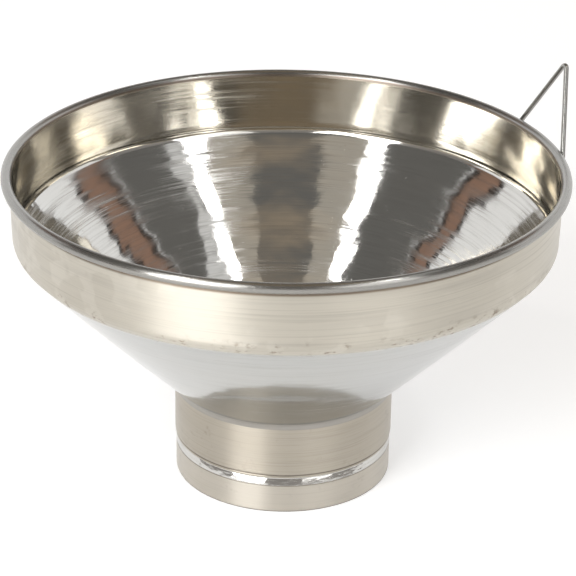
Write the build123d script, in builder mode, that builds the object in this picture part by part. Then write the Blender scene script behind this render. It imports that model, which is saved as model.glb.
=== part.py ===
from build123d import *
import os
from math import cos, hypot, radians, sin, sqrt

# Canning funnel, in millimetres.
# +Z is up when the funnel stands in a jar. The origin is on the spout's axis, level with the
# spout's bottom edge. The hanging hook is on the side towards +X and a little towards +Y.

# overall sizes
rim_radius = 70.0
overall_height = 82.0
sheet = 0.6

# rolled rim, curled outwards and left hollow
curl_radius = 1.3
curl_sweep = 280.0

# upright band, from the middle of the rolled rim down to its corner with the cone
band_height = 15.85
band_draft = 0.4
corner_bend = 2.2

# the cone's slight outward bulge half way up
cone_bow = 0.3

# spout collar with one rolled groove above its lower lip
spout_radius = 27.7
collar_height = 23.2
lip_step = 0.25
lip_height = 7.4
groove_height = 3.2
groove_depth = 0.55
groove_edge_round = 0.3

# weld bead between the cone and the collar
weld_height = 1.45
weld_reach = 1.5
weld_hollow = 0.15

# hanging hook, one wire bent into a triangle with two short tails
wire_radius = 0.65
hook_angle = 22.1
hook_foot_spread = 23.1
hook_rise = 19.1
hook_lean = 5.8
hook_apex_bend = 1.05
rim_clearance = 0.5
knee_drop = 2.1
tail_spread = 25.6
tail_drop = 5.3
tail_length = 5.2
tail_standoff = 0.3

# spot welds that hold the tails to the band
spot_length = 4.0
spot_margin = 0.25

# sizes that follow from the ones above
curl_centre_radius = rim_radius - curl_radius
curl_centre_height = overall_height - curl_radius
curl_hollow_radius = curl_radius - sheet
band_top_radius = curl_centre_radius - curl_radius
corner_radius = band_top_radius - band_draft
corner_height = curl_centre_height - band_height
neck_radius = spout_radius - sheet
neck_height = collar_height + weld_height
lip_radius = spout_radius - lip_step
groove_top = lip_height + groove_height
groove_middle = lip_height + groove_height / 2
groove_floor_radius = spout_radius - groove_depth
tail_top_height = curl_centre_height - tail_drop
tail_foot_height = tail_top_height - tail_length
spot_width = 2 * (wire_radius + spot_margin)

# the cone's direction in section, and the direction square to it on the outside
cone_run = corner_radius - neck_radius
cone_climb = corner_height - neck_height
cone_length = hypot(cone_run, cone_climb)
along_run = cone_run / cone_length
along_climb = cone_climb / cone_length
out_run = along_climb
out_climb = -along_run


def band_outside(height):
    """Radius of the band's outside face at a height; the band narrows a little downwards."""
    slope = (band_top_radius - corner_radius) / (curl_centre_height - corner_height)
    return corner_radius + sheet + slope * (height - corner_height)


def cone_point(along, outwards):
    """Point in section, so far up the cone from the neck and so far out from its inside."""
    run = neck_radius + along * along_run + outwards * out_run
    climb = neck_height + along * along_climb + outwards * out_climb
    return (run, climb)


os.makedirs("parts", exist_ok=True)

# Bowl: one spun sheet, from the neck up the cone, round the corner, up the band and over into
# the rolled rim. The section is drawn once and turned about the axis.
corner_inside = (corner_radius, corner_height)
corner_outside_radius = corner_radius + sheet
corner_outside_along = (corner_outside_radius - neck_radius - sheet * out_run) / along_run
corner_outside = cone_point(corner_outside_along, sheet)
with BuildPart() as bowl:
    with BuildSketch(Plane.XZ):
        with BuildLine():
            cone_inside = ThreePointArc(
                cone_point(0, 0), cone_point(cone_length / 2, cone_bow), corner_inside
            )
            band_inside = Line(corner_inside, (band_top_radius, curl_centre_height))
            curl_outside = CenterArc(
                (curl_centre_radius, curl_centre_height), curl_radius, 180, -curl_sweep
            )
            curl_inside = CenterArc(
                (curl_centre_radius, curl_centre_height), curl_hollow_radius, 180, -curl_sweep
            )
            Line(curl_outside @ 1, curl_inside @ 1)
            band_outside_line = Line(curl_inside @ 0, corner_outside)
            cone_outside = ThreePointArc(
                corner_outside, cone_point(cone_length / 2, sheet + cone_bow), cone_point(0, sheet)
            )
            Line(cone_outside @ 1, cone_inside @ 0)
        make_face()
        corners = vertices().sort_by_distance(corner_inside)
        fillet(corners[0], corner_bend)
        corners = vertices().sort_by_distance(corner_outside)
        fillet(corners[0], corner_bend + sheet)
    revolve(axis=Axis.Z)
bowl.part.label = "bowl"
export_step(bowl.part, "parts/bowl.step")

# Spout collar: a straight tube with a shallow rolled groove above a slightly narrower lip.
with BuildPart() as spout_collar:
    with BuildSketch(Plane.XZ):
        with BuildLine():
            Line((spout_radius, collar_height), (spout_radius, groove_top))
            ThreePointArc(
                (spout_radius, groove_top),
                (groove_floor_radius, groove_middle),
                (lip_radius, lip_height),
            )
            Line((lip_radius, lip_height), (lip_radius, 0))
            Line((lip_radius, 0), (lip_radius - sheet, 0))
            Line((lip_radius - sheet, 0), (lip_radius - sheet, lip_height))
            ThreePointArc(
                (lip_radius - sheet, lip_height),
                (groove_floor_radius - sheet, groove_middle),
                (neck_radius, groove_top),
            )
            Line((neck_radius, groove_top), (neck_radius, collar_height))
            Line((neck_radius, collar_height), (spout_radius, collar_height))
        make_face()
        groove_edges = (
            (spout_radius, groove_top),
            (lip_radius, lip_height),
            (neck_radius, groove_top),
            (lip_radius - sheet, lip_height),
        )
        for groove_edge in groove_edges:
            fillet(vertices().sort_by_distance(groove_edge)[0], groove_edge_round)
    revolve(axis=Axis.Z)
spout_collar.part.label = "spout_collar"
export_step(spout_collar.part, "parts/spout_collar.step")

# Neck weld: the bead that joins the collar's top edge to the cone's lower edge. It is flush
# inside and a small hollow fillet outside.
weld_cone_end = cone_point(weld_reach, sheet)
weld_start = (spout_radius, collar_height)
weld_fillet_middle = (
    (weld_start[0] + weld_cone_end[0]) / 2 - weld_hollow,
    (weld_start[1] + weld_cone_end[1]) / 2 + weld_hollow,
)
with BuildPart() as neck_weld:
    with BuildSketch(Plane.XZ):
        with BuildLine():
            Line((neck_radius, neck_height), (neck_radius, collar_height))
            Line((neck_radius, collar_height), weld_start)
            ThreePointArc(weld_start, weld_fillet_middle, weld_cone_end)
            Line(weld_cone_end, cone_point(weld_reach, sheet / 2))
            Line(cone_point(weld_reach, sheet / 2), (neck_radius, neck_height))
        make_face()
    revolve(axis=Axis.Z)
    add(bowl.part, mode=Mode.SUBTRACT)
neck_weld.part.label = "neck_weld"
export_step(neck_weld.part, "parts/neck_weld.step")

# Hanging hook: the wire starts at the foot of one tail, lies along the band, bends out past the
# rolled rim, rises as one side of the triangle, turns at the apex and comes down the same way.
hook_outwards = Vector(cos(radians(hook_angle)), sin(radians(hook_angle)), 0)
hook_sideways = Vector(-sin(radians(hook_angle)), cos(radians(hook_angle)), 0)
upwards = Vector(0, 0, 1)


def hook_point(radius, sideways, height):
    """Point at a radius from the spout's axis, so far to one side of the hook's middle."""
    outwards = sqrt(radius**2 - sideways**2)
    return hook_outwards * outwards + hook_sideways * sideways + upwards * height


def mirrored(point):
    """The same point on the other side of the hook's middle."""
    return point - hook_sideways * (2 * point.dot(hook_sideways))


foot_radius = rim_radius + wire_radius + rim_clearance
foot = hook_point(foot_radius, hook_foot_spread / 2, curl_centre_height)
foot_outwards = foot.dot(hook_outwards)
apex = hook_outwards * (foot_outwards + hook_lean) + upwards * (curl_centre_height + hook_rise)
leg_direction = (apex - foot).normalized()
half_apex_angle = radians((apex - foot).get_angle(apex - mirrored(foot))) / 2
apex_setback = hook_apex_bend * cos(half_apex_angle) / sin(half_apex_angle)
apex_drop = hook_apex_bend / sin(half_apex_angle) - hook_apex_bend
leg_end = apex - leg_direction * apex_setback
knee = foot - leg_direction * knee_drop
hook_middle = hook_outwards * foot_outwards + upwards * curl_centre_height
apex_inside = apex - (apex - hook_middle).normalized() * apex_drop
tail_top_radius = band_outside(tail_top_height) + wire_radius + tail_standoff
tail_foot_radius = band_outside(tail_foot_height) + wire_radius + tail_standoff
tail_top = hook_point(tail_top_radius, tail_spread / 2, tail_top_height)
tail_foot = hook_point(tail_foot_radius, tail_spread / 2, tail_foot_height)
tail_direction = (tail_top - tail_foot).normalized()
with BuildPart() as hanging_hook:
    with BuildLine() as wire_path:
        Line(tail_foot, tail_top)
        Spline(tail_top, knee, tangents=(tail_direction, leg_direction))
        Line(knee, leg_end)
        ThreePointArc(leg_end, apex_inside, mirrored(leg_end))
        Line(mirrored(leg_end), mirrored(knee))
        Spline(
            mirrored(knee),
            mirrored(tail_top),
            tangents=(-mirrored(leg_direction), -mirrored(tail_direction)),
        )
        Line(mirrored(tail_top), mirrored(tail_foot))
    with BuildSketch(Plane(tail_foot, z_dir=tail_direction)):
        Circle(wire_radius)
    sweep(path=wire_path.line)
hanging_hook.part.label = "hanging_hook"
export_step(hanging_hook.part, "parts/hanging_hook.step")

# Spot welds: one oblong nugget under each tail, filling the space between wire and band.
spot_height = (tail_top_height + tail_foot_height) / 2
spot_radius = band_outside(spot_height) + wire_radius + tail_standoff
spot_centre = hook_point(spot_radius, tail_spread / 2, spot_height)
with BuildPart() as hook_spot_welds:
    for spot in (spot_centre, mirrored(spot_centre)):
        inwards = Vector(-spot.X, -spot.Y, 0).normalized()
        with BuildSketch(Plane(spot, x_dir=(0, 0, 1), z_dir=inwards)):
            SlotOverall(spot_length, spot_width)
        extrude(amount=wire_radius + tail_standoff + sheet / 2)
    add(bowl.part, mode=Mode.SUBTRACT)
    add(hanging_hook.part, mode=Mode.SUBTRACT)
hook_spot_welds.part.label = "hook_spot_welds"
export_step(hook_spot_welds.part, "parts/hook_spot_welds.step")
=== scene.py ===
"""Canning funnel: the visible surfaces, steel finishes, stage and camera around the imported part.

Every length is in metres unless a name ends in _mm. The spout's axis is the Z axis.
"""

from math import cos, pi, radians, sin, sqrt, tan

import bpy
import numpy as np
from bpy.props import FloatProperty, FloatVectorProperty, IntProperty, PointerProperty
from mathutils import Matrix, Vector


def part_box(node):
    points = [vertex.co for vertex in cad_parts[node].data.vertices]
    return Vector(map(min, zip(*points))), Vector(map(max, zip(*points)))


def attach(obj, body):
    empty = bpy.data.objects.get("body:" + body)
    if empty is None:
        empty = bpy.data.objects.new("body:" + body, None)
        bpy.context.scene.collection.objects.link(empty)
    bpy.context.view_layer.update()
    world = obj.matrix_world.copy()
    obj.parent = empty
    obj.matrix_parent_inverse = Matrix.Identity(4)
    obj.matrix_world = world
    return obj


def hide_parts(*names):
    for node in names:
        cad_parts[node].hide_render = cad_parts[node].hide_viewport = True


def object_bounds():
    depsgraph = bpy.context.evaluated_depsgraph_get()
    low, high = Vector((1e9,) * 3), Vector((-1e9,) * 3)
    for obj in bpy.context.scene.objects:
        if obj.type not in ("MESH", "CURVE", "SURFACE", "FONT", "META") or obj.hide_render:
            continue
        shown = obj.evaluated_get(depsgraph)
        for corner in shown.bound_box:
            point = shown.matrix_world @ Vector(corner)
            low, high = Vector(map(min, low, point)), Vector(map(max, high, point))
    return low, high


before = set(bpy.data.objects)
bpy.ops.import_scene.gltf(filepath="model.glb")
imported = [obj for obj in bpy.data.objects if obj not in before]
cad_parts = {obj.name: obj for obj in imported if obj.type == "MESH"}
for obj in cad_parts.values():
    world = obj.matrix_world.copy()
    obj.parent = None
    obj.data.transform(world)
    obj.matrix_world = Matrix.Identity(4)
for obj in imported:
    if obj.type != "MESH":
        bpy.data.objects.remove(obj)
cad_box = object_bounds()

bl_info = {
    "name": "Canning funnel",
    "version": (1, 0, 0),
    "blender": (4, 5, 0),
    "location": "View3D > Sidebar > Funnel",
    "description": "Builds a spun steel canning funnel, its finishes and a plain studio",
    "category": "Object",
}

MM = 0.001
WHOLE_TURN = 2 * pi
bowl_low, bowl_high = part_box("bowl")
collar_low, collar_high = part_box("spout_collar")
hook_low, hook_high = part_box("hanging_hook")
SAFE_INSET = 0.01 * MM
NO_TRIANGLES = np.empty((0, 3), int)
WIRE_SIDES = 20
NUGGET_SIZE = (4.0 * MM, 1.8 * MM, 0.85 * MM)  # length, width, height
RIM_RADIUS = min(bowl_high.x, bowl_high.y, -bowl_low.x, -bowl_low.y) - SAFE_INSET
RIM_HEIGHT = bowl_high.z - SAFE_INSET
SPOUT_RADIUS = min(collar_high.x, collar_high.y, -collar_low.x, -collar_low.y)
COLLAR_HEIGHT = collar_high.z


# ---- sizes and colours


def length_setting(name, description, default):
    """A length that a user may change."""
    return FloatProperty(
        name=name, description=description, default=default, subtype="DISTANCE", unit="LENGTH"
    )


def angle_setting(name, description, default):
    """An angle that a user may change."""
    return FloatProperty(
        name=name, description=description, default=default, subtype="ANGLE", unit="ROTATION"
    )


def glow_setting(name, description, default):
    """A brightness that a user may change."""
    return FloatProperty(name=name, description=description, default=default, min=0)


def tint_setting(name, description, default):
    """A colour that a user may change."""
    return FloatVectorProperty(
        name=name, description=description, default=default, subtype="COLOR", size=3, min=0, max=1
    )


class FunnelSizes(bpy.types.PropertyGroup):
    """Sizes of the sheet metal and the wire."""

    rim_radius: length_setting("Rim radius", "Outside radius of the rolled rim", RIM_RADIUS)
    rim_height: length_setting("Rim height", "Height of the top of the rolled rim", RIM_HEIGHT)
    sheet: length_setting("Sheet", "Thickness of the spun sheet", 0.6 * MM)
    curl_radius: length_setting(
        "Curl radius", "Outside radius of the rolled rim's section", 1.3 * MM
    )
    curl_sweep: angle_setting("Curl sweep", "Angle that the rim is rolled through", radians(280))
    band_height: length_setting(
        "Band height", "From the middle of the rolled rim down to the corner with the cone", 15.85 * MM
    )
    band_draft: length_setting("Band draft", "How much narrower the band is at its foot", 0.4 * MM)
    corner_bend: length_setting("Corner bend", "Inside bend radius between band and cone", 2.2 * MM)
    cone_bow: length_setting("Cone bow", "Slight outward bulge of the cone half way up", 0.3 * MM)
    spout_radius: length_setting(
        "Spout radius", "Outside radius of the straight part of the spout", SPOUT_RADIUS
    )
    collar_height: length_setting("Collar height", "Height of the collar's top edge", COLLAR_HEIGHT)
    lip_step: length_setting(
        "Lip step", "How much narrower the lower lip is than the straight part", 0.25 * MM
    )
    lip_height: length_setting("Lip height", "Height of the lower lip, up to the groove", 7.4 * MM)
    groove_height: length_setting("Groove height", "Height of the rolled groove", 3.2 * MM)
    weld_height: length_setting(
        "Weld height", "Height of the weld between the collar and the cone", 1.45 * MM
    )
    weld_reach: length_setting("Weld reach", "How far the weld climbs the cone", 1.5 * MM)
    wire_radius: length_setting("Wire radius", "Radius of the hook's wire", 0.65 * MM)
    hook_angle: angle_setting(
        "Hook angle", "Where the hook's middle is, round from +X towards +Y", radians(22.1)
    )
    turns: IntProperty(
        name="Divisions",
        description="Divisions round the axis of each turned piece",
        default=480,
        min=64,
    )


class FunnelFinish(bpy.types.PropertyGroup):
    """Colours and polish of the steel."""

    satin_tint: tint_setting(
        "Satin tint", "Colour of the brushed band", (0.53, 0.50, 0.435)
    )
    spout_tint: tint_setting("Spout tint", "Colour of the brushed spout", (0.43, 0.392, 0.33))
    mirror_tint: tint_setting("Mirror tint", "Colour of the polished cone", (0.60, 0.595, 0.575))
    lining_tint: tint_setting(
        "Lining tint", "Colour of the polished inside of the band", (0.62, 0.585, 0.51)
    )
    skirt_tint: tint_setting(
        "Skirt tint", "Colour of the mirror-polished outside of the cone", (0.43, 0.435, 0.425)
    )
    rim_tint: tint_setting("Rim tint", "Colour of the rolled rim", (0.30, 0.295, 0.28))
    wire_tint: tint_setting("Wire tint", "Colour of the hook's wire", (0.36, 0.355, 0.34))
    weld_tint: tint_setting("Weld tint", "Colour of the weld metal", (0.34, 0.325, 0.30))


class FunnelStage(bpy.types.PropertyGroup):
    """Floor, light and camera."""

    floor_tint: tint_setting("Floor tint", "Colour of the floor", (0.68, 0.68, 0.68))
    floor_glow: glow_setting(
        "Floor glow", "Light that the floor gives off of itself, as a lit table does", 0.44
    )
    screen_glow: glow_setting("Screen glow", "Light from the low white screen round the floor", 1.0)
    lamp_glow: glow_setting("Lamp glow", "Brightness of each small high lamp", 17.0)
    halo_glow: glow_setting(
        "Halo glow", "Brightness of the warm wall beside each small high lamp", 0.34
    )
    upper_panel_glow: glow_setting(
        "Upper panel glow", "Brightness of the small soft panels above the tall ones", 3.4
    )
    fill_glow: glow_setting("Fill glow", "Brightness of the weak panel high on the right", 0.7)
    left_panel_glow: glow_setting(
        "Left panel glow", "Brightness of the tall soft panel in front on the left", 7.6
    )
    right_panel_glow: glow_setting(
        "Right panel glow", "Brightness of the tall soft panel in front on the right", 1.95
    )
    room_tint: tint_setting(
        "Room tint", "Colour of the dim room above the screen", (0.18, 0.175, 0.165)
    )
    ceiling_tint: tint_setting("Ceiling tint", "Colour of the room overhead", (0.42, 0.34, 0.25))
    camera_distance: length_setting(
        "Camera distance", "From the camera to the point it looks at", 0.6422
    )
    camera_elevation: angle_setting(
        "Camera elevation", "How far the camera looks down", radians(25.23)
    )
    camera_roll: angle_setting("Camera roll", "How far the camera leans", radians(0.82))
    camera_lens: FloatProperty(
        name="Camera lens",
        description="Focal length in millimetres",
        default=159.4,
    )


# ---- surfaces


def line(start, end, count):
    """Points along a straight line, the end left out: start + (end - start) t."""
    t = np.arange(count)[:, None] / count
    return np.array(start) + (np.array(end) - np.array(start)) * t


def arc(centre, radius, start, end, count):
    """Points along an arc, the end left out: centre + radius (cos a, sin a)."""
    a = start + (end - start) * np.arange(count) / count
    return np.array(centre) + radius * np.stack([np.cos(a), np.sin(a)], 1)


def bowed_line(start, end, bow, count):
    """A line bulging to its right: start + (end - start) t + 4 bow t (1 - t) across it."""
    t = np.arange(count)[:, None] / count
    start, end = np.array(start), np.array(end)
    run = end - start
    across = np.array([run[1], -run[0]]) / np.hypot(*run)
    return start + run * t + across * 4 * bow * t * (1 - t)


def rounded_corner(before, corner, after, radius, count):
    """An arc that touches both sides of a corner, from the first side to the second."""
    before, corner, after = np.array(before), np.array(corner), np.array(after)
    to_before = (before - corner) / np.hypot(*(before - corner))
    to_after = (after - corner) / np.hypot(*(after - corner))
    half = np.arccos(np.clip(to_before @ to_after, -1, 1)) / 2
    middle = to_before + to_after
    centre = corner + middle / np.hypot(*middle) * radius / sin(half)
    first = corner + to_before * radius / tan(half) - centre
    last = corner + to_after * radius / tan(half) - centre
    a = np.arctan2(first[1], first[0])
    turn = (np.arctan2(last[1], last[0]) - a + pi) % WHOLE_TURN - pi
    angles = a + turn * np.arange(count + 1) / count
    return centre + radius * np.stack([np.cos(angles), np.sin(angles)], 1)


def along_section(section):
    """Distance along a closed section, in millimetres, from its first point."""
    steps = np.hypot(*np.diff(section, axis=0).T)
    return np.concatenate([[0.0], np.cumsum(steps)]) / MM


def ring_faces(rows, columns):
    """Four-sided faces of a grid that closes on itself both ways."""
    i, j = np.meshgrid(np.arange(rows), np.arange(columns), indexing="ij")
    i_next, j_next = (i + 1) % rows, (j + 1) % columns
    corners = [i * columns + j, i * columns + j_next, i_next * columns + j_next]
    corners.append(i_next * columns + j)
    return np.stack([c.ravel() for c in corners], 1)


def strip_faces(rows, columns):
    """Four-sided faces of a grid that is open along its rows and closes round its columns."""
    i, j = np.meshgrid(np.arange(rows - 1), np.arange(columns), indexing="ij")
    j_next = (j + 1) % columns
    corners = [i * columns + j, i * columns + j_next, (i + 1) * columns + j_next]
    corners.append((i + 1) * columns + j)
    return np.stack([c.ravel() for c in corners], 1)


def outward(points, quads, triangles):
    """The faces, turned round if the closed surface's signed volume is negative."""
    split = np.vstack([quads[:, :3], quads[:, [0, 2, 3]], triangles])
    a, b, c = (points[split[:, k]] for k in range(3))
    volume = (a * np.cross(b, c)).sum()
    if volume > 0:
        return quads, triangles
    return quads[:, ::-1], triangles[:, ::-1]


def turned(section, columns):
    """A closed section turned round the axis.

    A point (r, h) of the section goes to (r cos a, r sin a, h) for each angle a.
    """
    angle = np.arange(columns) * WHOLE_TURN / columns
    radius = np.repeat(section[:, :1], columns, 1)
    height = np.repeat(section[:, 1:], columns, 1)
    points = np.stack([radius * np.cos(angle), radius * np.sin(angle), height], 2)
    return points.reshape(-1, 3), ring_faces(len(section), columns), NO_TRIANGLES


def new_piece(name, shells, material, node, section_mm=None):
    """A mesh of closed shells that rides on the part and stands for its CAD node.

    Each shell is its points, its four-sided faces and its three-sided faces.
    """
    points, faces, used = [], [], 0
    for shell_points, quads, triangles in shells:
        quads, triangles = outward(shell_points, quads, triangles)
        faces += (quads + used).tolist() + (triangles + used).tolist()
        points.append(shell_points)
        used += len(shell_points)
    points = np.vstack(points)
    low, high = (np.array(corner) for corner in cad_box)
    if (points < low - SAFE_INSET).any() or (points > high + SAFE_INSET).any():
        raise RuntimeError(name + " leaves the packed part's box")
    mesh = bpy.data.meshes.new(name)
    mesh.from_pydata(points.tolist(), [], faces)
    mesh.polygons.foreach_set("use_smooth", np.ones(len(mesh.polygons), bool))
    if section_mm is not None:
        attribute = mesh.attributes.new("section_mm", "FLOAT", "POINT")
        attribute.data.foreach_set("value", section_mm.astype(np.float32))
    mesh.update()
    mesh.validate()
    mesh.materials.append(material)
    piece = bpy.data.objects.new(name, mesh)
    bpy.context.scene.collection.objects.link(piece)
    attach(piece, "root")
    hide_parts(node)


def turned_piece(name, section, distance, turns, material, node):
    """A piece turned from a section, which keeps the distance along the section."""
    new_piece(name, [turned(section, turns)], material, node, np.repeat(distance, turns))


# ---- sections of the sheet metal


def bowl_plan(sizes):
    """Radii and heights that the bowl, the weld and the spot welds share."""
    plan = {}
    plan["curl_centre"] = (
        sizes.rim_radius - sizes.curl_radius,
        sizes.rim_height - sizes.curl_radius,
    )
    plan["band_top"] = plan["curl_centre"][0] - sizes.curl_radius
    plan["corner"] = (
        plan["band_top"] - sizes.band_draft,
        plan["curl_centre"][1] - sizes.band_height,
    )
    plan["neck"] = (
        sizes.spout_radius - sizes.sheet,
        sizes.collar_height + sizes.weld_height,
    )
    run = plan["corner"][0] - plan["neck"][0]
    climb = plan["corner"][1] - plan["neck"][1]
    length = sqrt(run * run + climb * climb)
    plan["along"] = (run / length, climb / length)
    plan["out"] = (climb / length, -run / length)
    return plan


def cone_point(plan, along, out):
    """Point so far up the cone from the neck and so far out from its inside face."""
    return (
        plan["neck"][0] + along * plan["along"][0] + out * plan["out"][0],
        plan["neck"][1] + along * plan["along"][1] + out * plan["out"][1],
    )


def bowl_section(sizes):
    """The bowl's closed section, and where its stretches end along it in millimetres."""
    plan = bowl_plan(sizes)
    sheet = sizes.sheet
    neck, corner, centre = plan["neck"], plan["corner"], plan["curl_centre"]
    band_top_in = (plan["band_top"], centre[1])
    band_top_out = (plan["band_top"] + sheet, centre[1])
    across = plan["out"][0]
    reach = (corner[0] + sheet - neck[0] - sheet * across) / plan["along"][0]
    corner_out = cone_point(plan, reach, sheet)
    neck_out = cone_point(plan, 0, sheet)
    bend_in = rounded_corner(neck, corner, band_top_in, sizes.corner_bend, 9)
    bend_out = rounded_corner(
        band_top_out, corner_out, neck_out, sizes.corner_bend + sheet, 9
    )
    hollow = sizes.curl_radius - sheet
    end = pi - sizes.curl_sweep
    tip = np.array(centre) + (hollow + sheet / 2) * np.array([cos(end), sin(end)])
    ridge = bend_in[-1] + np.array([[0, 0.25], [-0.05, 0.5], [-0.05, 0.75], [0, 1.0]]) * MM
    parts = [
        ("neck", line(neck_out, neck, 3)),
        ("cone_inside", bowed_line(neck, bend_in[0], sizes.cone_bow, 54)),
        ("bend_inside", bend_in),
        ("band_inside", np.vstack([ridge, line(ridge[-1], band_top_in, 10)[1:]])),
        ("curl", arc(centre, sizes.curl_radius, pi, end, 30)),
        ("curl_tip", arc(tip, sheet / 2, end, end - pi, 5)),
        ("curl_hollow", arc(centre, hollow, end, pi, 14)),
        ("band_outside", line(band_top_out, bend_out[0], 12)),
        ("bend_outside", bend_out),
        ("cone_outside", bowed_line(bend_out[-1], neck_out, -sizes.cone_bow, 48)[1:]),
    ]
    section = np.vstack([points for _, points in parts])
    distance = along_section(section)
    marks, used = {}, 0
    for name, points in parts:
        used += len(points)
        marks[name] = float(distance[min(used, len(distance) - 1)])
    return section, distance, marks


# the groove's shoulder: how far each point is below its top and in from the spout, in millimetres
SHOULDER_DROPS = np.array(
    [-0.30, -0.04, 0.10, 0.24, 0.38, 0.50, 0.66, 0.84, 0.98, 1.10, 1.20, 1.34]
)
SHOULDER_STEPS = np.array([0.0, 0.01, 0.15, 0.20, 0.16, 0.12, 0.12, 0.15, 0.30, 0.56, 0.76, 0.85])
GROOVE_DEPTH = 0.86 * MM


def collar_section(sizes):
    """The collar's closed section: outside from the top down, then inside back up."""
    radius, top, sheet = sizes.spout_radius, sizes.collar_height, sizes.sheet
    lip = radius - sizes.lip_step
    groove_top = sizes.lip_height + sizes.groove_height
    edge = sheet / 2
    shoulder = np.stack([radius - SHOULDER_STEPS * MM, groove_top - SHOULDER_DROPS * MM], 1)
    t = np.linspace(0, 1, 15)[1:]
    deepest = radius - GROOVE_DEPTH
    cove_height = sizes.groove_height - SHOULDER_DROPS[-1] * MM
    cove = np.stack(
        [
            deepest + (lip - deepest) * (1.25 * t - 0.25 * t * t),
            groove_top - SHOULDER_DROPS[-1] * MM - cove_height * t,
        ],
        1,
    )
    foot = np.array([(lip, cove[-1][1] - 0.06 * MM), (lip, cove[-1][1] - 0.3 * MM)])
    outside = np.vstack([shoulder, cove, foot])
    inside = outside[::-3] - np.array([sheet, 0])
    section = np.vstack(
        [
            [(radius, top)],
            line((radius, top - 0.03 * MM), (radius, outside[0][1] + 0.1 * MM), 22),
            outside,
            line((lip, outside[-1][1] - 0.1 * MM), (lip, edge), 12),
            arc((lip - edge, edge), edge, 0, -pi, 8),
            line((lip - sheet, edge), (lip - sheet, inside[0][1] - 0.1 * MM), 12),
            inside,
            line(
                (radius - sheet, inside[-1][1] + 0.1 * MM), (radius - sheet, top - 0.03 * MM), 16
            ),
            line((radius - sheet, top), (radius, top), 3),
        ]
    )
    return section, along_section(section)


def weld_section(sizes):
    """The neck weld's closed section: flush inside, a small hollow fillet outside."""
    plan = bowl_plan(sizes)
    neck, sheet = np.array(plan["neck"]), sizes.sheet
    foot_in = np.array((neck[0], sizes.collar_height))
    foot_out = np.array((sizes.spout_radius, sizes.collar_height))
    tip = np.array(cone_point(plan, sizes.weld_reach, sheet))
    behind = np.array(cone_point(plan, sizes.weld_reach - 0.1 * MM, sheet / 2))
    t = np.concatenate([[0, 0.03], np.linspace(0.1, 0.9, 9), [0.97]])[:, None]
    hollow = np.array([-0.10, 0.10]) * MM
    fillet = foot_out + (tip - foot_out) * t + hollow * 4 * t * (1 - t)
    section = np.vstack(
        [
            line(foot_in, foot_out, 3),
            fillet,
            line(tip, behind, 3),
            line(behind, neck, 5),
            line(neck, foot_in, 6),
        ]
    )
    return section, along_section(section)


# ---- wire and spot welds


class HookPlan:
    """Points of the hook's wire, in a frame made of outwards, sideways and up."""

    FOOT_SPREAD = 23.1 * MM
    RISE = 19.1 * MM
    LEAN = 5.8 * MM
    APEX_BEND = 1.05 * MM
    RIM_CLEARANCE = 0.5 * MM
    KNEE_DROP = 2.1 * MM
    TAIL_SPREAD = 25.6 * MM
    TAIL_DROP = 5.3 * MM
    TAIL_LENGTH = 5.2 * MM
    STANDOFF = 0.3 * MM

    def __init__(self, sizes):
        plan = bowl_plan(sizes)
        angle = sizes.hook_angle
        self.outwards = np.array([cos(angle), sin(angle), 0])
        self.sideways = np.array([-sin(angle), cos(angle), 0])
        self.up = np.array([0, 0, 1.0])
        self.plan, self.sizes = plan, sizes
        rim = plan["curl_centre"][1]
        foot_radius = sizes.rim_radius + sizes.wire_radius + self.RIM_CLEARANCE
        self.foot = self.at(foot_radius, self.FOOT_SPREAD / 2, rim)
        out = self.foot @ self.outwards
        self.apex = self.outwards * (out + self.LEAN) + self.up * (rim + self.RISE)
        leg = self.apex - self.foot
        self.leg = leg / np.linalg.norm(leg)
        self.knee = self.foot - self.leg * self.KNEE_DROP
        tail_top = rim - self.TAIL_DROP
        tail_foot = tail_top - self.TAIL_LENGTH
        self.tail_top = self.on_band(tail_top)
        self.tail_foot = self.on_band(tail_foot)
        self.spot = self.on_band((tail_top + tail_foot) / 2)

    def at(self, radius, sideways, height):
        """Point at a radius from the axis and so far to one side of the hook's middle."""
        out = sqrt(radius * radius - sideways * sideways)
        return self.outwards * out + self.sideways * sideways + self.up * height

    def band_radius(self, height):
        """Outside radius of the band at a height."""
        corner, top = self.plan["corner"], self.plan["curl_centre"][1]
        slope = (self.plan["band_top"] - corner[0]) / (top - corner[1])
        return corner[0] + self.sizes.sheet + slope * (height - corner[1])

    def on_band(self, height):
        """Middle of the wire where a tail lies along the band."""
        radius = self.band_radius(height) + self.sizes.wire_radius + self.STANDOFF
        return self.at(radius, self.TAIL_SPREAD / 2, height)

    def mirrored(self, points):
        """The same points on the other side of the hook's middle."""
        across = points @ self.sideways
        return points - 2 * np.multiply.outer(across, self.sideways)


def blended_run(start, end, start_way, end_way, count):
    """A cubic run between two points, leaving and arriving along the given directions."""
    t = (np.arange(count) / count)[:, None]
    reach = np.linalg.norm(end - start)
    return (
        (2 * t**3 - 3 * t**2 + 1) * start
        + (t**3 - 2 * t**2 + t) * start_way * reach
        + (3 * t**2 - 2 * t**3) * end
        + (t**3 - t**2) * end_way * reach
    )


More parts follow.
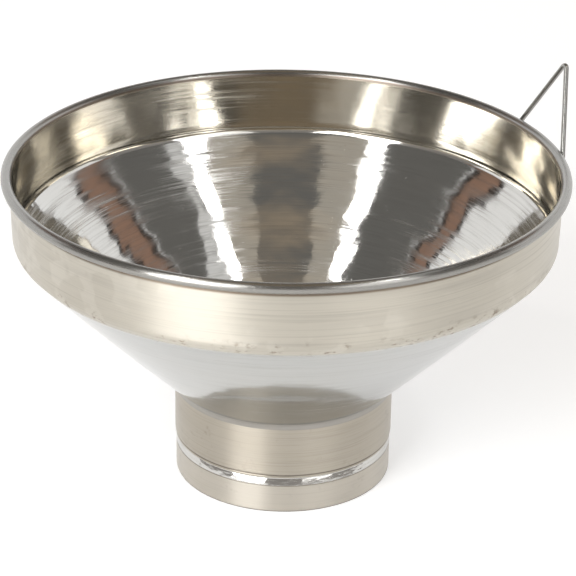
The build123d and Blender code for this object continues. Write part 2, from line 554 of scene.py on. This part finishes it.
def hook_path(plan):
    """The wire's centre line: tail, knee, leg, apex bend, and the same again mirrored."""
    t = np.linspace(0, 1, 9)[:-1, None]
    tail = plan.tail_foot + (plan.tail_top - plan.tail_foot) * t
    tail_way = (plan.tail_top - plan.tail_foot) / np.linalg.norm(plan.tail_top - plan.tail_foot)
    knee = blended_run(plan.tail_top, plan.knee, tail_way, plan.leg, 14)
    middle = plan.foot - plan.sideways * (plan.foot @ plan.sideways)
    rise = plan.apex - middle
    rise /= np.linalg.norm(rise)
    half = np.arccos(plan.leg @ rise)
    leg_end = plan.apex - plan.leg * plan.APEX_BEND / tan(half)
    t = np.linspace(0, 1, 25)[:-1, None]
    leg = plan.knee + (leg_end - plan.knee) * t
    centre = plan.apex - rise * plan.APEX_BEND / sin(half)
    a = np.linspace(pi / 2 - half, 0, 13)[:, None]
    bend = centre + plan.APEX_BEND * (rise * np.cos(a) + plan.sideways * np.sin(a))
    side = np.vstack([tail, knee, leg, bend])
    return np.vstack([side, plan.mirrored(side[:-1])[::-1]])


def wire(path, reference, radius, sides):
    """A round wire carried along a path, its ends rounded over and closed.

    At each point the circle lies in the plane square to the path, and is set out from the
    reference direction, so it doesn't twist: p + r (n cos a + b sin a).
    """
    way = np.gradient(path, axis=0)
    way /= np.linalg.norm(way, axis=1)[:, None]
    t = np.linspace(0, pi / 2, 6)
    cap = radius * 0.5
    start = path[0] - way[0] * (np.sin(t[::-1]) * cap)[:, None] + way[0] * cap
    end = path[-1] + way[-1] * (np.sin(t) * cap)[:, None] - way[-1] * cap
    inner = (np.linalg.norm(path - path[0], axis=1) > cap) & (
        np.linalg.norm(path - path[-1], axis=1) > cap
    )
    spine = np.vstack([start, path[inner], end])
    ways = np.vstack([np.repeat(way[:1], 6, 0), way[inner], np.repeat(way[-1:], 6, 0)])
    size = np.concatenate([np.cos(t[::-1]), np.ones(inner.sum()), np.cos(t)])
    size = radius * (0.5 + 0.5 * size)
    size[0] = size[-1] = radius * 0.02
    normal = reference - ways * (ways @ reference)[:, None]
    normal /= np.linalg.norm(normal, axis=1)[:, None]
    across = np.cross(ways, normal)
    a = np.arange(sides) * WHOLE_TURN / sides
    ring = normal[:, None] * np.cos(a)[:, None] + across[:, None] * np.sin(a)[:, None]
    points = (spine[:, None] + size[:, None, None] * ring).reshape(-1, 3)
    rows = len(spine)
    faces = strip_faces(rows, sides)
    ends = np.array([spine[0], spine[-1]])
    points = np.vstack([points, ends])
    j = np.arange(sides)
    first = np.stack([np.full(sides, len(points) - 2), (j + 1) % sides, j], 1)
    last_row = (rows - 1) * sides
    last = np.stack([np.full(sides, len(points) - 1), last_row + j, last_row + (j + 1) % sides], 1)
    distance = np.concatenate([[0], np.cumsum(np.linalg.norm(np.diff(spine, axis=0), axis=1))])
    distance = np.concatenate([np.repeat(distance, sides), [0, distance[-1]]]) / MM
    return (points, faces, np.vstack([first, last])), distance


def nugget(centre, inwards, up, length, width, height, rows=14, columns=40):
    """A low oblong mound of weld metal on the band, closed underneath.

    Its outline is an oblong with round ends. Going in from the outline by u, the surface
    stands height sqrt(1 - (1 - u)^2.4) high.
    """
    side = np.cross(inwards, up)
    a = np.arange(columns) * WHOLE_TURN / columns
    straight = length - width
    outline = np.stack([np.cos(a) * width / 2, np.sin(a) * width / 2], 1)
    outline[:, 1] += np.sign(np.round(np.sin(a), 6)) * straight / 2
    u = np.linspace(0, 1, rows)[:-1]
    shrink = 1 - u
    raised = height * np.sqrt(np.clip(1 - shrink**2.4, 0, 1))
    depth = np.concatenate([[0.35 * height], -raised])
    shrink = np.concatenate([[1.0], shrink])
    points = (
        centre
        + outline[None, :, :1] * shrink[:, None, None] * side
        + outline[None, :, 1:] * shrink[:, None, None] * up
        + depth[:, None, None] * inwards
    )
    flat = points.reshape(-1, 3)
    flat = np.vstack([flat, centre + inwards * 0.35 * height, centre - inwards * height])
    rows_used = len(depth)
    faces = strip_faces(rows_used, columns)
    j = np.arange(columns)
    under = np.stack([np.full(columns, len(flat) - 2), (j + 1) % columns, j], 1)
    top_row = (rows_used - 1) * columns
    top = np.stack([np.full(columns, len(flat) - 1), top_row + j, top_row + (j + 1) % columns], 1)
    return flat, faces, np.vstack([under, top])


# ---- shader workshop


class Value:
    """A number on a node's output, which ordinary sums turn into Math nodes."""

    def __init__(self, bench, socket):
        self.bench, self.socket = bench, socket

    def _math(self, operation, first, second=None, clamp=False):
        inputs = {0: first} if second is None else {0: first, 1: second}
        settings = {"operation": operation, "use_clamp": clamp}
        return self.bench.add("ShaderNodeMath", settings, inputs)

    def __add__(self, other):
        return self._math("ADD", self, other)

    __radd__ = __add__

    def __sub__(self, other):
        return self._math("SUBTRACT", self, other)

    def __rsub__(self, other):
        return self._math("SUBTRACT", other, self)

    def __mul__(self, other):
        return self._math("MULTIPLY", self, other)

    __rmul__ = __mul__

    def __truediv__(self, other):
        return self._math("DIVIDE", self, other)

    def root(self):
        """Square root."""
        return self._math("SQRT", self)

    def held(self):
        """The value, held between 0 and 1."""
        return self._math("ADD", self, 0.0, clamp=True)


class Bench:
    """One material's node tree, with a single way of adding nodes."""

    def __init__(self, name):
        self.material = bpy.data.materials.new(name)
        self.material.use_nodes = True
        self.tree = self.material.node_tree
        self.tree.nodes.clear()

    @classmethod
    def of_tree(cls, tree):
        """A bench for a tree that already exists, such as the room's."""
        bench = cls.__new__(cls)
        bench.tree = tree
        tree.nodes.clear()
        return bench

    def add(self, kind, settings=None, inputs=None, output=0):
        """Adds a node: its settings first, then its sockets' values or links."""
        node = self.tree.nodes.new(kind)
        for name, value in (settings or {}).items():
            setattr(node, name, value)
        for name, value in (inputs or {}).items():
            socket = node.inputs[name]
            if isinstance(value, Value):
                self.tree.links.new(value.socket, socket)
            else:
                socket.default_value = value
        return Value(self, node.outputs[output]) if node.outputs else node

    def axes(self):
        """The object's own x, y and z."""
        place = self.add("ShaderNodeTexCoord", output="Object")
        node = self.add("ShaderNodeSeparateXYZ", inputs={0: place})
        outputs = node.socket.node.outputs
        return [Value(self, outputs[k]) for k in range(3)]

    def vector(self, x, y, z):
        """Three values as one vector."""
        return self.add("ShaderNodeCombineXYZ", inputs={0: x, 1: y, 2: z})

    def noise(self, vector, detail=2.0, rough=0.5):
        """Soft noise from 0 to 1, about 0.5 on average."""
        inputs = {"Vector": vector, "Scale": 1.0, "Detail": detail, "Roughness": rough}
        return self.add("ShaderNodeTexNoise", {"noise_dimensions": "3D"}, inputs)

    def spots(self, vector):
        """Distance to the nearest of many scattered points."""
        inputs = {"Vector": vector, "Scale": 1.0, "Randomness": 1.0}
        settings = {"voronoi_dimensions": "3D", "feature": "F1"}
        return self.add("ShaderNodeTexVoronoi", settings, inputs)

    def step(self, value, low, high, start=0.0, end=1.0):
        """A smooth change from start to end as the value goes from low to high."""
        inputs = {0: value, 1: low, 2: high, 3: start, 4: end}
        settings = {"interpolation_type": "SMOOTHSTEP"}
        return self.add("ShaderNodeMapRange", settings, inputs)

    def band(self, value, low, full, fading, gone):
        """1 between full and fading, 0 below low and above gone, smooth between."""
        return self.step(value, low, full) * self.step(value, fading, gone, 1.0, 0.0)

    def mix(self, factor, first, second):
        """Two colours mixed by a factor."""
        settings = {"data_type": "RGBA", "blend_type": "MIX", "clamp_factor": True}
        inputs = {0: factor, 6: first, 7: second}
        return self.add("ShaderNodeMix", settings, inputs, output=2)

    def attribute(self, name):
        """A number stored on the mesh's points."""
        settings = {"attribute_type": "GEOMETRY", "attribute_name": name}
        return self.add("ShaderNodeAttribute", settings, output="Fac")

    def finish(self, colour, rough, height, constants):
        """The steel shader, with its relief, on the material's output."""
        bump = self.add(
            "ShaderNodeBump", inputs={"Strength": 1.0, "Distance": 1.0, "Height": height}
        )
        inputs = {
            "Base Color": colour,
            "Roughness": rough,
            "Normal": bump,
            "Metallic": 1.0,
            **constants,
        }
        shader = self.add("ShaderNodeBsdfPrincipled", inputs=inputs)
        self.add("ShaderNodeOutputMaterial", inputs={"Surface": shader})
        return self.material


PLAIN_GLOSS = {"IOR": 2.4}
TURNED_GLOSS = {"Anisotropic": 0.85, "Anisotropic Rotation": 0.25, "IOR": 2.4}
# dark brown for real grime and pits on the bowl, also used for the painted shade in its creases
GRIME_AND_SHADE = (0.16, 0.10, 0.06, 1.0)
CREASE_SHADOW = (0.09, 0.075, 0.06, 1.0)
WHITE = (1.0, 1.0, 1.0)


def rgba(colour):
    """A colour with full alpha."""
    return (*colour, 1.0)


def round_frame(bench):
    """A maker of places round the axis, and the height as a value.

    A place is (k cos a + shift, k sin a, across), for the angle a round the axis.
    """
    x, y, z = bench.axes()
    radius = (x * x + y * y).root()
    cosine, sine = x / radius, y / radius

    def place(drift, across, shift=None):
        first = cosine * drift if shift is None else cosine * drift + shift
        return bench.vector(first, sine * drift, across)

    return place, z


def turned_lines(bench, place, across_mm, spacing_mm, drift, seed):
    """Noise drawn out round the axis: long the way the work turned, narrow across it."""
    return bench.noise(place(drift, across_mm * (1.0 / spacing_mm), seed), detail=3.0, rough=0.6)


def bowl_steel(finish, marks):
    """Spun steel: mirror cone, polished inside, satin band outside, duller rolled rim, with painted
    shade lines in the creases beside the rolled rim.
    """
    bench = Bench("bowl_steel")
    place, _ = round_frame(bench)
    section = bench.attribute("section_mm")
    cone_in = marks["cone_inside"]
    band_in = marks["band_inside"]
    curl = marks["curl_hollow"]
    bend_out = marks["bend_outside"]
    inside_band = bench.band(section, cone_in, cone_in + 2, band_in, band_in + 0.4)
    rolled = bench.band(section, band_in - 0.2, band_in + 0.4, curl - 0.4, curl)
    satin = bench.band(section, curl - 0.2, curl + 0.2, bend_out, bend_out + 1.5)
    cone_out = bench.step(section, bend_out, bend_out + 1.5)
    inside_cone = bench.step(section, cone_in, cone_in + 2, 1.0, 0.0)

    fine = turned_lines(bench, place, section, 0.35, 1.5, 3.0)
    broad = turned_lines(bench, place, section, 1.6, 2.2, 11.0)
    cloud = bench.noise(place(2.6, section * 0.06), detail=3.0, rough=0.55)
    wave = bench.noise(place(7.0, section * 0.16), detail=1.0, rough=0.4)
    swell = bench.noise(place(3.0, section * 0.07, 8.0), detail=0.0)
    worn = bench.noise(place(1.7, section * 0.05, 4.0), detail=2.0)
    crinkle = bench.noise(place(26.0, section * 0.5), detail=2.0, rough=0.5)

    warm, cool = rgba(finish.satin_tint), rgba(finish.mirror_tint)
    colour = bench.mix(satin, cool, warm)
    colour = bench.mix(inside_band, colour, rgba(finish.lining_tint))
    colour = bench.mix(cone_out, colour, rgba(finish.skirt_tint))
    colour = bench.mix(rolled, colour, rgba(finish.rim_tint))
    shade = bench.step(cloud, 0.3, 0.7, 0.0, 1.0)
    colour = bench.mix(shade * 0.10, colour, (0.52, 0.47, 0.41, 1.0))
    streak = bench.step(broad, 0.42, 0.72)
    seldom = bench.noise(place(9.0, section * 0.16))
    colour = bench.mix(streak * 0.12, colour, (0.30, 0.29, 0.28, 1.0))
    hairlines = bench.step(fine, 0.48, 0.75) * (satin * 0.26 + inside_cone * 0.22 + cone_out * 0.14)
    colour = bench.mix(hairlines, colour, (0.24, 0.22, 0.195, 1.0))
    patches = bench.step(seldom, 0.47, 0.56) * bench.step(cloud, 0.44, 0.54) * satin
    colour = bench.mix(patches * 0.22, colour, (0.72, 0.69, 0.62, 1.0))
    dots = bench.spots(place(70.0, section * 1.1))
    near_bend = bench.band(section, bend_out - 5.5, bend_out - 1.0, bend_out + 0.2, bend_out + 1.6)
    smudge = bench.noise(place(30.0, section * 0.7), detail=5.0, rough=0.65)
    grime = bench.step(smudge, 0.50, 0.64) * bench.step(seldom, 0.44, 0.57)
    pits = bench.step(dots, 0.08, 0.16, 1.0, 0.0) * bench.step(seldom, 0.60, 0.68)
    # painted shade: a dark line in the crease under the rolled rim, where the rim's shadow falls on
    # the band
    crease_shade = bench.band(section, curl, curl + 1.2, curl + 2.0, curl + 2.7)
    # real residue along the bend and real pits, with the painted crease shade added below; all are
    # mixed towards one dark brown
    dirt_and_shade = grime * near_bend * 0.75 + pits * (inside_cone + inside_band) * 0.6
    # painted shade: a thin dark line where the rolled rim meets the inside of the band
    inner_crease_shade = bench.band(section, band_in - 0.35, band_in, band_in + 0.35, band_in + 0.8)
    dirt_and_shade = (dirt_and_shade + crease_shade * 0.7 + inner_crease_shade * 0.6).held()
    colour = bench.mix(dirt_and_shade, colour, GRIME_AND_SHADE)

    rough = (
        inside_cone * 0.075
        + inside_band * 0.11
        + rolled * 0.27
        + satin * 0.36
        + cone_out * 0.05
    )
    uneven = 1.0 - cone_out * 0.8 - inside_band * 0.4
    lines = (cloud - 0.5) * 0.08 + (fine - 0.5) * 0.14 + (broad - 0.5) * 0.12
    polished = inside_cone + inside_band * 0.6 + cone_out * 0.5
    combed = bench.step(worn, 0.42, 0.62, 0.14, 1.0) * polished
    scuffs = bench.step(fine, 0.46, 0.66) * 0.17 + bench.step(broad, 0.44, 0.64) * 0.13
    rough = rough + lines * uneven + combed * scuffs + dirt_and_shade * 0.3
    ripples = inside_cone + inside_band * 0.22 + cone_out * 0.3
    height = (
        (fine - 0.5) * (inside_cone * 2.0e-6 + inside_band * 1.2e-6 + satin * 3.0e-6)
        + (broad - 0.5) * (inside_cone * 7e-6 + inside_band * 4e-6 + satin * 4e-6)
        + (wave - 0.5) * ripples * 1.2e-4
        + (swell - 0.5) * inside_cone * 6e-4
        + (crinkle - 0.5) * ripples * 0.5e-5
        + (pits + grime * near_bend) * -1.0e-5
    )
    return bench.finish(colour, rough.held(), height, TURNED_GLOSS)


def collar_steel(finish, sizes):
    """Satin spout with fine turned lines, a polished groove and a few dull stains."""
    bench = Bench("spout_steel")
    place, z = round_frame(bench)
    section = bench.attribute("section_mm")
    height_mm = z * 1000.0
    low = sizes.lip_height / MM
    high = low + sizes.groove_height / MM
    groove = bench.band(height_mm, low - 0.05, low + 0.1, high - 1.3, high - 1.1)
    upper_crease = bench.band(height_mm, high - 0.5, high - 0.3, high - 0.1, high + 0.02)
    lower_crease = bench.band(height_mm, high - 1.3, high - 1.2, high - 1.0, high - 0.9)
    lip_crease = bench.band(height_mm, low - 0.25, low - 0.1, low + 0.05, low + 0.15)
    foot_edge = bench.step(height_mm, 0.15, 0.45, 1.0, 0.0)
    crease_shade = (upper_crease * 0.7 + lower_crease * 0.7 + lip_crease * 0.5 + foot_edge * 0.85).held()
    fine = turned_lines(bench, place, section, 0.30, 1.2, 5.0)
    broad = turned_lines(bench, place, section, 1.1, 2.0, 17.0)
    cloud = bench.noise(place(1.8, section * 0.11), detail=3.0)
    stain = bench.noise(place(5.0, section * 0.22), detail=4.0)
    specks = bench.noise(place(24.0, section * 0.9), detail=3.0)
    colour = bench.mix(groove, rgba(finish.spout_tint), rgba(finish.mirror_tint))
    dull = bench.step(stain, 0.56, 0.70) * bench.step(specks, 0.45, 0.70)
    colour = bench.mix(dull * 0.35, colour, (0.24, 0.20, 0.16, 1.0))
    colour = bench.mix(bench.step(broad, 0.45, 0.75) * 0.16, colour, (0.34, 0.31, 0.28, 1.0))
    colour = bench.mix(bench.step(fine, 0.45, 0.72) * 0.30, colour, (0.27, 0.235, 0.19, 1.0))
    lip = bench.step(height_mm, low - 0.3, low - 0.1, 1.0, 0.0)
    colour = bench.mix(lip * 0.30, colour, (0.70, 0.67, 0.62, 1.0))
    colour = bench.mix(bench.step(cloud, 0.35, 0.7) * 0.12, colour, (0.50, 0.47, 0.43, 1.0))
    colour = bench.mix(crease_shade, colour, CREASE_SHADOW)
    rough = (
        (1.0 - groove) * 0.34
        + groove * 0.12
        + (fine - 0.5) * 0.14
        + (cloud - 0.5) * 0.10
        + dull * 0.12
    )
    swell = bench.noise(place(5.0, section * 0.5), detail=2.0)
    relief = (1.0 - groove) * ((fine - 0.5) * 4e-6 + (broad - 0.5) * 6e-6) + dull * -2e-6
    relief = relief + groove * (swell - 0.5) * 2.0e-4
    return bench.finish(colour, rough.held(), relief, TURNED_GLOSS)


def weld_steel(finish):
    """Ground weld bead: bright, a little uneven round the neck."""
    bench = Bench("weld_steel")
    place, z = round_frame(bench)
    ripple = bench.noise(place(34.0, z * 600.0), detail=2.0)
    cloud = bench.noise(place(5.0, z * 300.0), detail=2.0)
    colour = bench.mix(
        bench.step(cloud, 0.4, 0.7) * 0.35, rgba(finish.weld_tint), (0.38, 0.35, 0.31, 1.0)
    )
    rough = 0.42 + (cloud - 0.5) * 0.2 + (ripple - 0.5) * 0.1
    return bench.finish(colour, rough.held(), (ripple - 0.5) * 2.5e-5, PLAIN_GLOSS)


def wire_steel(finish):
    """Drawn wire: lengthways die marks and a little tarnish."""
    bench = Bench("wire_steel")
    section = bench.attribute("section_mm")
    x, y, z = bench.axes()
    place = bench.vector(x * 2600.0, y * 2600.0, section * 0.06)
    marks = bench.noise(place, detail=2.0)
    tarnish = bench.noise(bench.vector(x * 300.0, y * 300.0, z * 300.0), detail=3.0)
    colour = bench.mix(
        bench.step(tarnish, 0.45, 0.7) * 0.5, rgba(finish.wire_tint), (0.26, 0.24, 0.22, 1.0)
    )
    rough = 0.24 + (marks - 0.5) * 0.1 + (tarnish - 0.5) * 0.1
    return bench.finish(colour, rough.held(), (marks - 0.5) * 1.0e-6, PLAIN_GLOSS)


def spot_steel(finish):
    """Spot-weld metal: dull, heat-tinted in patches, finely rippled."""
    bench = Bench("spot_weld_steel")
    x, y, z = bench.axes()
    grain = bench.noise(bench.vector(x * 1800.0, y * 1800.0, z * 1800.0), detail=4.0)
    heat = bench.noise(bench.vector(x * 500.0, y * 500.0, z * 500.0), detail=2.0)
    colour = bench.mix(
        bench.step(heat, 0.35, 0.65), rgba(finish.wire_tint), (0.36, 0.27, 0.19, 1.0)
    )
    rough = 0.38 + (grain - 0.5) * 0.3
    return bench.finish(colour, rough.held(), (grain - 0.5) * 3e-5, PLAIN_GLOSS)


# ---- operators


class FUNNEL_OT_bowl(bpy.types.Operator):
    """Spins the bowl: cone, corner, band and rolled rim"""

    bl_idname = "funnel.bowl"
    bl_label = "Bowl"

    def execute(self, context):
        sizes, finish = context.scene.funnel_sizes, context.scene.funnel_finish
        section, distance, marks = bowl_section(sizes)
        material = bowl_steel(finish, marks)
        turned_piece("spun_bowl", section, distance, sizes.turns, material, "bowl")
        return {"FINISHED"}


class FUNNEL_OT_collar(bpy.types.Operator):
    """Rolls the spout collar with its groove and lip"""

    bl_idname = "funnel.collar"
    bl_label = "Spout collar"

    def execute(self, context):
        sizes, finish = context.scene.funnel_sizes, context.scene.funnel_finish
        section, distance = collar_section(sizes)
        material = collar_steel(finish, sizes)
        turned_piece("rolled_collar", section, distance, sizes.turns, material, "spout_collar")
        return {"FINISHED"}


class FUNNEL_OT_neck_weld(bpy.types.Operator):
    """Lays the weld between the cone and the collar"""

    bl_idname = "funnel.neck_weld"
    bl_label = "Neck weld"

    def execute(self, context):
        sizes, finish = context.scene.funnel_sizes, context.scene.funnel_finish
        section, distance = weld_section(sizes)
        material = weld_steel(finish)
        turned_piece("neck_weld_bead", section, distance, sizes.turns, material, "neck_weld")
        return {"FINISHED"}


class FUNNEL_OT_hook(bpy.types.Operator):
    """Bends the hanging hook from wire"""

    bl_idname = "funnel.hook"
    bl_label = "Hanging hook"

    def execute(self, context):
        sizes, finish = context.scene.funnel_sizes, context.scene.funnel_finish
        plan = HookPlan(sizes)
        radius = sizes.wire_radius - SAFE_INSET
        shell, along = wire(hook_path(plan), plan.outwards, radius, WIRE_SIDES)
        new_piece("bent_hook", [shell], wire_steel(finish), "hanging_hook", along)
        return {"FINISHED"}


class FUNNEL_OT_spot_welds(bpy.types.Operator):
    """Sets the two weld nuggets that hold the hook to the band"""

    bl_idname = "funnel.spot_welds"
    bl_label = "Hook spot welds"

    def execute(self, context):
        sizes, finish = context.scene.funnel_sizes, context.scene.funnel_finish
        plan = HookPlan(sizes)
        shells = []
        for spot in (plan.spot, plan.mirrored(plan.spot)):
            flat = np.array([spot[0], spot[1], 0.0])
            inwards = -flat / np.linalg.norm(flat)
            base = spot + inwards * (sizes.wire_radius + plan.STANDOFF)
            shells.append(nugget(base, inwards, plan.up, *NUGGET_SIZE))
        new_piece("spot_weld_nuggets", shells, spot_steel(finish), "hook_spot_welds")
        return {"FINISHED"}


class FUNNEL_OT_stage(bpy.types.Operator):
    """Sets up the floor, the low screen round it, the lamps and the camera"""

    bl_idname = "funnel.stage"
    bl_label = "Stage"

    def execute(self, context):
        stage = context.scene.funnel_stage
        floor_and_screen(stage)
        lamps(stage)
        room(stage)
        camera(stage)
        context.scene.view_settings.view_transform = "Standard"
        return {"FINISHED"}


def stage_piece(name, points, faces, material):
    """A mesh that isn't part of the funnel."""
    mesh = bpy.data.meshes.new(name)
    mesh.from_pydata(points.tolist(), [], faces.tolist())
    mesh.materials.append(material)
    piece = bpy.data.objects.new(name, mesh)
    bpy.context.scene.collection.objects.link(piece)
    return piece


def glowing_paper(name, tint, glow, mottle, light=WHITE):
    """Matt paper that also gives off some light, very faintly mottled."""
    bench = Bench(name)
    x, y, z = bench.axes()
    cloud = bench.noise(bench.vector(x * mottle, y * mottle, z * mottle), detail=2.0)
    colour = bench.mix(cloud * 0.03, rgba(tint), (0.88, 0.88, 0.88, 1.0))
    shader = bench.add(
        "ShaderNodeBsdfPrincipled",
        inputs={
            "Base Color": colour,
            "Roughness": 0.9,
            "Emission Color": rgba(light),
            "Emission Strength": glow,
        },
    )
    bench.add("ShaderNodeOutputMaterial", inputs={"Surface": shader})
    return bench.material


SCREEN_RADIUS = 1.5
EYE_HEIGHT = 0.06


def reach_up(degrees):
    """Height on the screen that is so many degrees up as seen from the funnel."""
    return EYE_HEIGHT + SCREEN_RADIUS * tan(radians(degrees))


def standing_arc(radius, low, high, start, end, columns):
    """A wall standing on part of a circle: (r sin a, r cos a, z), a from start to end."""
    a = np.radians(np.linspace(start, end, columns))
    z = np.array([low, high])[:, None]
    x = radius * np.sin(a) + 0 * z
    y = radius * np.cos(a) + 0 * z
    points = np.stack([x, y, z + 0 * x], 2).reshape(-1, 3)
    j = np.arange(columns - 1)
    return points, np.stack([j, j + 1, columns + j + 1, columns + j], 1)


def floor_and_screen(stage):
    """A round floor, a low white screen with a brown rail behind, and a dim wall in front."""
    columns = 96
    a = np.arange(columns) * WHOLE_TURN / columns
    edge = SCREEN_RADIUS + 0.05
    points = np.stack([edge * np.cos(a), edge * np.sin(a), 0 * a], 1)
    paper = glowing_paper("floor_paper", stage.floor_tint, stage.floor_glow, 2.0)
    stage_piece("floor", points, np.arange(columns)[None, :], paper)
    dark, brown = (0.04, 0.032, 0.028), (0.34, 0.205, 0.145)
    storeys = (
        ("screen", 0.0, reach_up(33), (0.15, 0.15, 0.15), WHITE, stage.screen_glow),
        ("rail_foot", reach_up(33), reach_up(35.3), dark, dark, 0.3),
        ("rail", reach_up(35.3), reach_up(40.2), brown, brown, 0.36),
        ("rail_top", reach_up(40.2), reach_up(42.3), dark, dark, 0.3),
        ("rail_edge", reach_up(42.3), reach_up(43.1), (0.3, 0.3, 0.3), WHITE, 0.6),
    )
    for name, low, high, tint, light, glow in storeys:
        points, faces = standing_arc(SCREEN_RADIUS, low, high, -85, 85, 49)
        stage_piece(name, points, faces, glowing_paper(name, tint, glow, 1.5, light))
    wall = glowing_paper("wall", (0.20, 0.18, 0.16), 0.16, 1.5)
    points, faces = standing_arc(SCREEN_RADIUS, 0.0, reach_up(43.1), 85, 275, 49)
    stage_piece("wall", points, faces, wall)


def direction(azimuth, elevation):
    """The way that lies so many degrees round from +Y towards +X, and so many up."""
    a, e = radians(azimuth), radians(elevation)
    return Vector((sin(a) * cos(e), cos(a) * cos(e), sin(e)))


def soft_lamp(name, way, distance, width, height, radiance, colour=WHITE):
    """A rectangular lamp facing the funnel; its power is pi times area times radiance."""
    light = bpy.data.lights.new(name, "AREA")
    light.color = colour
    light.shape = "RECTANGLE"
    light.size, light.size_y = width, height
    light.energy = radiance * pi * width * height
    lamp = bpy.data.objects.new(name, light)
    turn = way.to_track_quat("Z", "Y").to_matrix().to_4x4()
    lamp.matrix_world = Matrix.Translation(way * distance) @ turn
    bpy.context.scene.collection.objects.link(lamp)


def lamps(stage):
    """Two small high lamps with a warm glow beside each, and soft panels round the front."""
    for name, side, size in (("left", -1, 0.135), ("right", 1, 0.115)):
        way = direction(side * 121, 60)
        soft_lamp("lamp_" + name, way, 1.2, size, size, stage.lamp_glow)
        way = direction(side * 136, 63)
        soft_lamp("halo_" + name, way, 1.25, 0.26, 0.34, stage.halo_glow, (1.0, 0.9, 0.74))
    panels = (
        ("left", (-145, 24), (0.70, 0.90), stage.left_panel_glow),
        ("right", (144, 26), (0.66, 0.72), stage.right_panel_glow),
        ("upper_left", (-133, 52), (0.20, 0.20), stage.upper_panel_glow),
        ("upper_right", (133, 52), (0.34, 0.20), stage.upper_panel_glow),
        ("fill", (84, 65), (0.60, 0.30), stage.fill_glow),
    )
    for name, (azimuth, elevation), (width, height), glow in panels:
        soft_lamp("panel_" + name, direction(azimuth, elevation), 1.2, width, height, glow)


def room(stage):
    """The dim room above the screen, warmer and lighter overhead."""
    world = bpy.data.worlds.new("dim_room")
    world.use_nodes = True
    bench = Bench.of_tree(world.node_tree)
    way = bench.add("ShaderNodeTexCoord", output="Generated")
    parts = bench.add("ShaderNodeSeparateXYZ", inputs={0: way}, output="Z")
    overhead = bench.step(parts, sin(radians(62)), sin(radians(74)))
    colour = bench.mix(overhead, rgba(stage.room_tint), rgba(stage.ceiling_tint))
    lit = bench.add("ShaderNodeBackground", inputs={"Color": colour})
    bench.add("ShaderNodeOutputWorld", inputs={"Surface": lit})
    bpy.context.scene.world = world


CAMERA_TARGET = Vector((0, 0, 0.045))
CAMERA_SHIFT = (0.0057, 0.0245)


def camera(stage):
    """A long lens from the front, looking down, leaning a little."""
    data = bpy.data.cameras.new("camera")
    data.lens = stage.camera_lens
    data.sensor_width = 36.0
    data.shift_x, data.shift_y = CAMERA_SHIFT
    data.clip_start = 0.01
    place = bpy.data.objects.new("camera", data)
    elevation, roll = stage.camera_elevation, stage.camera_roll
    back = Vector((0, -cos(elevation), sin(elevation)))
    right = Vector((1, 0, 0))
    up = back.cross(right)
    leaning_right = right * cos(roll) + up * sin(roll)
    leaning_up = up * cos(roll) - right * sin(roll)
    turn = Matrix((leaning_right, leaning_up, back)).transposed().to_4x4()
    where = CAMERA_TARGET + back * stage.camera_distance
    place.matrix_world = Matrix.Translation(where) @ turn
    bpy.context.scene.collection.objects.link(place)
    bpy.context.scene.camera = place


class FUNNEL_PT_panel(bpy.types.Panel):
    """Buttons for the pieces, and their sizes and colours"""

    bl_idname = "FUNNEL_PT_panel"
    bl_label = "Canning funnel"
    bl_space_type = "VIEW_3D"
    bl_region_type = "UI"
    bl_category = "Funnel"

    def draw(self, context):
        for operator in OPERATORS:
            self.layout.operator(operator.bl_idname)
        for group in ("funnel_sizes", "funnel_finish", "funnel_stage"):
            settings = getattr(context.scene, group)
            for name in settings.__annotations__:
                self.layout.prop(settings, name)


OPERATORS = (
    FUNNEL_OT_bowl,
    FUNNEL_OT_collar,
    FUNNEL_OT_neck_weld,
    FUNNEL_OT_hook,
    FUNNEL_OT_spot_welds,
    FUNNEL_OT_stage,
)
GROUPS = (FunnelSizes, FunnelFinish, FunnelStage)
CLASSES = (*GROUPS, *OPERATORS, FUNNEL_PT_panel)


def register():
    """Registers the classes and hangs the settings on the scene."""
    for kind in CLASSES:
        bpy.utils.register_class(kind)
    bpy.types.Scene.funnel_sizes = PointerProperty(type=FunnelSizes)
    bpy.types.Scene.funnel_finish = PointerProperty(type=FunnelFinish)
    bpy.types.Scene.funnel_stage = PointerProperty(type=FunnelStage)


def unregister():
    """Takes the settings and the classes away again."""
    del bpy.types.Scene.funnel_stage
    del bpy.types.Scene.funnel_finish
    del bpy.types.Scene.funnel_sizes
    for kind in reversed(CLASSES):
        bpy.utils.unregister_class(kind)


def main():
    """Makes every piece in order."""
    register()
    bpy.ops.funnel.bowl()
    bpy.ops.funnel.collar()
    bpy.ops.funnel.neck_weld()
    bpy.ops.funnel.hook()
    bpy.ops.funnel.spot_welds()
    bpy.ops.funnel.stage()


if __name__ == "__main__":
    main()
